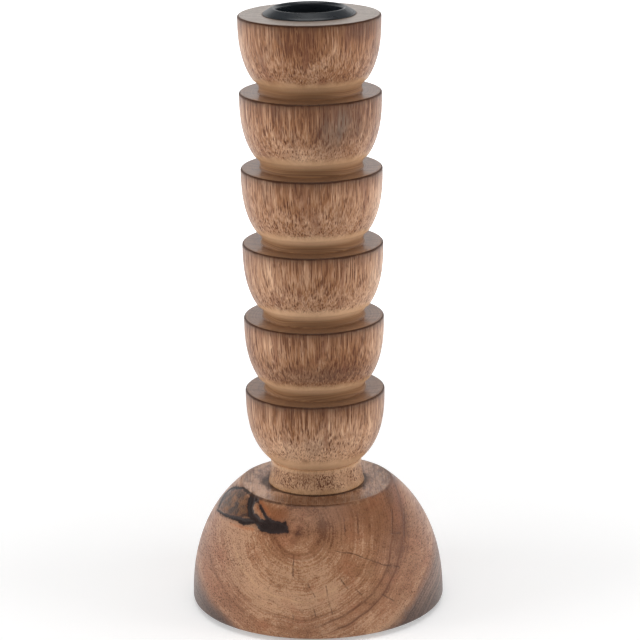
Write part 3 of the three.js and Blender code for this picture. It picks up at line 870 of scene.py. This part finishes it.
def stem_of_bowls():
    """Foot, stacked bowls with coved necks, and the socket for the candle cup, turned in one piece."""
    foot_top = BASE_TOP + FOOT_HEIGHT
    start = np.array([
        (0, PILOT_TOP),
        (SCREW_HOLE_RADIUS, PILOT_TOP),
        (SCREW_HOLE_RADIUS, SPIGOT_BOTTOM),
        (SPIGOT_RADIUS - SPIGOT_CHAMFER, SPIGOT_BOTTOM),
        (SPIGOT_RADIUS, SPIGOT_BOTTOM + SPIGOT_CHAMFER),
        (SPIGOT_RADIUS, BASE_TOP),
        (FOOT_RADIUS - FOOT_EASE, BASE_TOP),
        (FOOT_RADIUS, BASE_TOP + FOOT_EASE),
    ], float)
    waist = (FOOT_TOP_RADIUS, BASE_TOP + FOOT_HEIGHT / 3)
    foot = bend(start[-1], waist, (FOOT_TOP_RADIUS, foot_top - FOOT_SHOULDER), 16)
    shoulder = bend(foot[-1], (FOOT_TOP_RADIUS, foot_top), (LOWEST_BOWL_END_RADIUS, foot_top), 8)[1:-1]
    lowest = bowl_profile(FIRST_RIM, LOWEST_BOWL_HEIGHT, LOWEST_BOWL_END_RADIUS, False)
    parts = [start, foot[1:], shoulder, lowest]
    for tier in range(1, BOWL_COUNT):
        rim_below = FIRST_RIM + (tier - 1) * TIER
        neck_top = rim_below + NECK_HEIGHT
        flat = line(parts[-1][-1], (NECK_RADIUS + COVE_ROUND, rim_below), 9)[1:]
        cove = arc((NECK_RADIUS + COVE_ROUND, rim_below + COVE_ROUND), COVE_ROUND, 270, 180, 5)[1:]
        neck = line(cove[-1], (NECK_RADIUS, neck_top - HEEL_DROP), 5)[1:-1]
        bowl = bowl_profile(neck_top + BOWL_HEIGHT, BOWL_HEIGHT, BOWL_END_RADIUS, True)
        parts += [flat, cove, neck, bowl]
    top = line(parts[-1][-1], (CUP_SOCKET_RADIUS, STEM_TOP), 12)[1:]
    socket = line(top[-1], (CUP_SOCKET_RADIUS, CUP_SOCKET_FLOOR), 8)[1:]
    floor = line(socket[-1], (0, CUP_SOCKET_FLOOR), 8)[1:]
    profile = np.concatenate([*parts, top, socket, floor])

    radius, height = profile.T
    depth = TIER - np.mod(height - 2 * HAIR - FIRST_RIM, TIER)
    depth = np.where(height < FIRST_RIM, FIRST_RIM - height, depth)
    bowl_height = np.where(height < FIRST_RIM, LOWEST_BOWL_HEIGHT, BOWL_HEIGHT)
    in_bowls = (height > foot_top - HAIR) & (radius > LOWEST_BOWL_END_RADIUS - HAIR)
    on_flat = (depth < 0.15) & in_bowls
    in_neck = (height > FIRST_RIM + HAIR) & in_bowls & ~on_flat
    fields = {
        "below": depth - (bowl_height - BOWL_HEIGHT) * (smooth(0, 12, depth) - 0.5 * smooth(12, 20, depth)),
        "flat": on_flat * smooth(RIM_RADIUS - 0.25, RIM_RADIUS - 0.8, radius),
        "neck": in_neck * smooth(BOWL_HEIGHT - 0.8, BOWL_HEIGHT + 1.2, depth),
        "foot": (height < foot_top + HAIR) * 1.0,
        "pale_stain_and_painted_light": stained(PALE_STAINS_AND_PAINTED_LIGHT),
        "dark_stain_and_painted_shade": stained(DARK_STAINS_AND_PAINTED_SHADE),
        "ash": stained(ASH),
    }
    return turned("stem_of_bowls", profile, STEM_AROUND, fields)


def spun_cup():
    """Sheet-metal candle cup: floor, wall, rolled lip, and a flange whose slope is the tangent from its edge
    to the roll, with the underside one wall below."""
    lip_top = STEM_TOP + LIP_RISE
    floor = CUP_BOTTOM + CUP_WALL
    roll = np.array((CUP_BORE_RADIUS + LIP_ROUND, lip_top - LIP_ROUND))
    edge_round = FLANGE_EDGE / 2
    edge = np.array((FLANGE_RADIUS, STEM_TOP + FLANGE_EDGE))
    toward = edge - roll
    tangent = math.degrees(math.atan2(toward[1], toward[0]) + math.acos(LIP_ROUND / np.linalg.norm(toward)))
    under = arc(roll, LIP_ROUND - CUP_WALL, 180, tangent, 8)
    run = (under[-1][1] - STEM_TOP) * math.tan(math.radians(tangent))
    heel = CUP_FLOOR_ROUND + CUP_WALL
    outer_radius = CUP_BORE_RADIUS + CUP_WALL
    profile = np.concatenate([
        line((0, CUP_BOTTOM), (outer_radius - heel, CUP_BOTTOM), 8),
        arc((outer_radius - heel, CUP_BOTTOM + heel), heel, -90, 0, 9)[1:],
        line((outer_radius, CUP_BOTTOM + heel), under[0], 10)[1:],
        under[1:],
        line(under[-1], (under[-1][0] + run, STEM_TOP), 5)[1:],
        arc((FLANGE_RADIUS - edge_round, STEM_TOP + edge_round), edge_round, -90, 30, 6),
        line(edge, arc(roll, LIP_ROUND, tangent, tangent, 1)[0], 8)[1:],
        arc(roll, LIP_ROUND, tangent, 180, 20)[1:],
        line((CUP_BORE_RADIUS, roll[1]), (CUP_BORE_RADIUS, floor + CUP_FLOOR_ROUND), 12)[1:],
        arc((CUP_BORE_RADIUS - CUP_FLOOR_ROUND, floor + CUP_FLOOR_ROUND), CUP_FLOOR_ROUND, 0, -90, 9)[1:],
        line((CUP_BORE_RADIUS - CUP_FLOOR_ROUND, floor), (0, floor), 8)[1:],
    ])
    return turned("spun_cup", profile, CUP_AROUND)


# Screw: a thread of V ridges on a core, and a cross recess in the crown of the head
THREAD_PITCH = 2.2
THREAD_CORE = 1.7
THREAD_CREST = 2.5
SHANK_RADIUS = 1.8
SHANK_LENGTH = 14.0
TIP_LENGTH = 6.0
HEAD_RADIUS = 5.0
HEAD_SIDE = 1.2
HEAD_EASE = 0.2
RIDGE_SPREAD = 0.3
POINT = 0.05
RECESS_SPAN = 2.4
RECESS_RAMP = 1.3
RECESS_WIDTH = 0.55
RECESS_WALL = 0.25
RECESS_DEPTH = 2.0


def threaded_screw():
    """Wood screw, head down. Along the thread the radius is core + (crest - core) * ridge, where ridge is a
    narrow bump of the turn z / pitch - angle / 2 pi, and both fade to the point. The recess deepens the crown
    where the smaller of |x| and |y| is inside the wing's width."""
    head_top = washer_low[2]
    head_bottom = screw_low[2]
    crown = head_top - HEAD_SIDE - head_bottom
    turn = np.linspace(0, np.pi / 2, 40)
    cap = np.column_stack([HEAD_RADIUS * np.sin(turn), head_bottom + crown * (1 - np.cos(turn))])
    thread_start = head_top + SHANK_LENGTH
    shaft = line((THREAD_CORE, thread_start), (THREAD_CORE, screw_high[2] - POINT), 330)
    profile = np.concatenate([
        cap,
        line(cap[-1], (HEAD_RADIUS, head_top - HEAD_EASE), 4)[1:],
        [(HEAD_RADIUS - HEAD_EASE, head_top)],
        line((HEAD_RADIUS - HEAD_EASE, head_top), (SHANK_RADIUS, head_top), 5)[1:],
        line((SHANK_RADIUS, head_top), (SHANK_RADIUS, thread_start - 0.1), 12)[1:],
        shaft,
        [(0, screw_high[2])],
    ])

    def cut(grid):
        x, y, z = np.moveaxis(grid, -1, 0)
        narrow, wide = np.minimum(np.abs(x), np.abs(y)), np.maximum(np.abs(x), np.abs(y))
        wing = smooth(RECESS_WIDTH, RECESS_WIDTH - RECESS_WALL, narrow)
        wing = wing * smooth(RECESS_SPAN, RECESS_SPAN - RECESS_RAMP, wide)
        lifted = z + RECESS_DEPTH * wing * (z < head_top - 0.5)
        angle = np.arctan2(y, x)
        phase = np.mod(z / THREAD_PITCH - angle / (2 * np.pi), 1.0)
        ridge = smooth(RIDGE_SPREAD, 0.0, np.abs(phase - 0.5))
        taper = smooth(0, TIP_LENGTH, screw_high[2] - z)
        grown = smooth(thread_start, thread_start + THREAD_PITCH, z)
        radius = np.hypot(x, y)
        threaded = (THREAD_CORE + (THREAD_CREST - THREAD_CORE) * ridge * grown) * taper
        scale = np.where(z >= thread_start, np.maximum(threaded, POINT) / np.maximum(radius, 1e-9), 1.0)
        return np.stack([x * scale, y * scale, lifted], axis=-1)

    return turned("threaded_screw", profile, FASTENER_AROUND, shape=cut)


def plain_washer():
    """Flat ring with rounded edges."""
    low, high = washer_low[2], washer_high[2]
    outer, inner, ease = washer_high[0], SCREW_HOLE_RADIUS, 0.25
    profile = np.concatenate([
        line((inner + ease, low), (outer - ease, low), 8),
        arc((outer - ease, low + ease), ease, -90, 0, 5)[1:],
        arc((outer - ease, high - ease), ease, 0, 90, 5),
        line((outer - ease, high), (inner + ease, high), 8)[1:],
        arc((inner + ease, high - ease), ease, 90, 180, 5)[1:],
        arc((inner + ease, low + ease), ease, 180, 270, 5),
    ])
    return turned("plain_washer", profile, FASTENER_AROUND)


def felt_disc(node):
    """Cut disc of felt: flat, with a soft lower edge, and a radius that wavers by a few hundredths."""
    low, high = low_and_high(node)
    centre = (low + high) / 2
    radius = (high[0] - low[0]) / 2
    ease = 0.35
    profile = np.concatenate([
        line((0, low[2]), (radius - ease, low[2]), 10),
        arc((radius - ease, low[2] + ease), ease, -90, 0, 6)[1:],
        line((radius, low[2] + ease), (radius, high[2]), 5)[1:],
        line((radius, high[2]), (0, high[2]), 8)[1:],
    ])

    def cut_edge(grid):
        angle = np.arctan2(grid[..., 1], grid[..., 0])
        waver = 1 - 0.006 * (1 + np.sin(7 * angle + centre[0]) * np.sin(11 * angle + centre[1]))
        return grid * np.stack([waver, waver, np.ones_like(waver)], axis=-1) + [centre[0], centre[1], 0]

    return turned(node.replace("pad", "disc"), profile, PAD_AROUND, shape=cut_edge)


def dress(piece, node, body, finish):
    """Gives a piece its finish and the body that carries it, and hides the CAD node it stands for."""
    piece.data.materials.append(finish)
    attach(piece, body)
    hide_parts(node)
    return piece


# Studio, in metres: the floor, a curved wall behind the object, and the point that the lamps face
FLOOR_HALF = 20
BACKDROP_RADIUS = 2.6
BACKDROP_HEIGHT = 1.4
BACKDROP_HALF_TURN = 110
LAMP_AIM = (0, 0, 0.1)


def grey(value):
    return (value, value, value, 1)


def put_sheet(name, paper, points, faces, shade, glow):
    """Stands a matt sheet in the studio. Its glow shows to the camera and in a gloss, and lights nothing."""
    sheet = bpy.data.objects.new(name, bpy.data.meshes.new(name))
    sheet.data.from_pydata(points, [], faces)
    bpy.context.scene.collection.objects.link(sheet)
    matt = {"Base Color": grey(shade), "Roughness": 0.9, "Specular IOR Level": 0.0, "Emission Strength": 1.0}
    shown = paper.mix(paper.seen(), BLACK, glow)
    sheet.data.materials.append(paper.surface({**matt, "Emission Color": shown}))


def studio():
    """Pale floor and curved wall, white surroundings, a large soft lamp on either side and one above, and the
    camera."""
    scene = bpy.context.scene
    white = Finish("floor")
    x, y, _ = white.axes(white.place())
    glow = white.mix(white.step(110, 600, (x * x + y * y) ** 0.5), grey(0.34), grey(1.05))
    near, far = -FLOOR_HALF, FLOOR_HALF
    corners = [(near, near, 0), (far, near, 0), (far, far, 0), (near, far, 0)]
    put_sheet("floor", white, corners, [(0, 1, 2, 3)], 0.82, glow)

    paper = Finish("backdrop")
    x, _, z = paper.axes(paper.place())
    beside = paper.step(0.35, 0.75, abs(x) * (MM / BACKDROP_RADIUS))
    behind = paper.mix(paper.step(550, 1000, z), grey(0.36), grey(0.66))
    glow = paper.mix(beside, behind, grey(0.95))
    bow = np.radians(np.linspace(-BACKDROP_HALF_TURN, BACKDROP_HALF_TURN, 61))
    ground = BACKDROP_RADIUS * np.column_stack([np.sin(bow), np.cos(bow), np.zeros(len(bow))])
    wall = np.concatenate([ground, ground + [0, 0, BACKDROP_HEIGHT]])
    first = np.arange(len(bow) - 1)
    strips = np.column_stack([first, first + 1, first + 1 + len(bow), first + len(bow)])
    put_sheet("backdrop", paper, wall.tolist(), strips.tolist(), 0.8, glow)

    around = Finish("surroundings", "worlds", "Background")
    scene.world = around.surface({"Color": (1, 1, 1, 1), "Strength": 0.24})

    lamps = {
        "left_softbox": ((-1.15, -0.25, 0.28), (0.9, 0.5), 10.2),
        "right_softbox": ((1.15, -0.25, 0.28), (0.9, 0.5), 9.4),
        "top_softbox": ((0.0, -0.2, 1.5), (1.2, 1.2), 9),
    }
    for name, (place, size, watts) in lamps.items():
        lamp = bpy.data.lights.new(name, "AREA")
        lamp.shape = "RECTANGLE"
        lamp.size, lamp.size_y = size
        lamp.energy = watts
        softbox = bpy.data.objects.new(name, lamp)
        softbox.location = place
        toward = np.array(LAMP_AIM) - np.array(place)
        yaw = math.atan2(toward[0], -toward[1])
        tilt = math.atan2(math.hypot(toward[0], toward[1]), -toward[2])
        softbox.rotation_euler = (tilt, 0, yaw + math.pi)
        softbox.visible_glossy = name == "top_softbox"
        scene.collection.objects.link(softbox)

    camera = bpy.data.objects.new("camera", bpy.data.cameras.new("camera"))
    camera.data.lens = FOCAL_LENGTH
    camera.data.sensor_width = SENSOR_WIDTH
    camera.location = [value * MM for value in CAMERA_PLACE]
    camera.rotation_mode = "ZYX"
    camera.rotation_euler = (math.radians(90 - CAMERA_TILT), 0, math.radians(CAMERA_ROLL))
    scene.collection.objects.link(camera)
    scene.camera = camera
    scene.view_settings.view_transform = "Standard"


studio()
dress(domed_base(), "dome_base", "holder", base_wood())
dress(stem_of_bowls(), "turned_stem", "holder", stem_wood())
steel = fastener_steel()
dress(threaded_screw(), "stem_screw", "holder", steel)
dress(plain_washer(), "screw_washer", "holder", steel)
felt = pad_felt()
for count in range(1, PAD_COUNT + 1):
    disc = dress(felt_disc(f"felt_pad_{count}"), f"felt_pad_{count}", "holder", felt)
dress(spun_cup(), "candle_cup", "candle_insert", cup_metal())
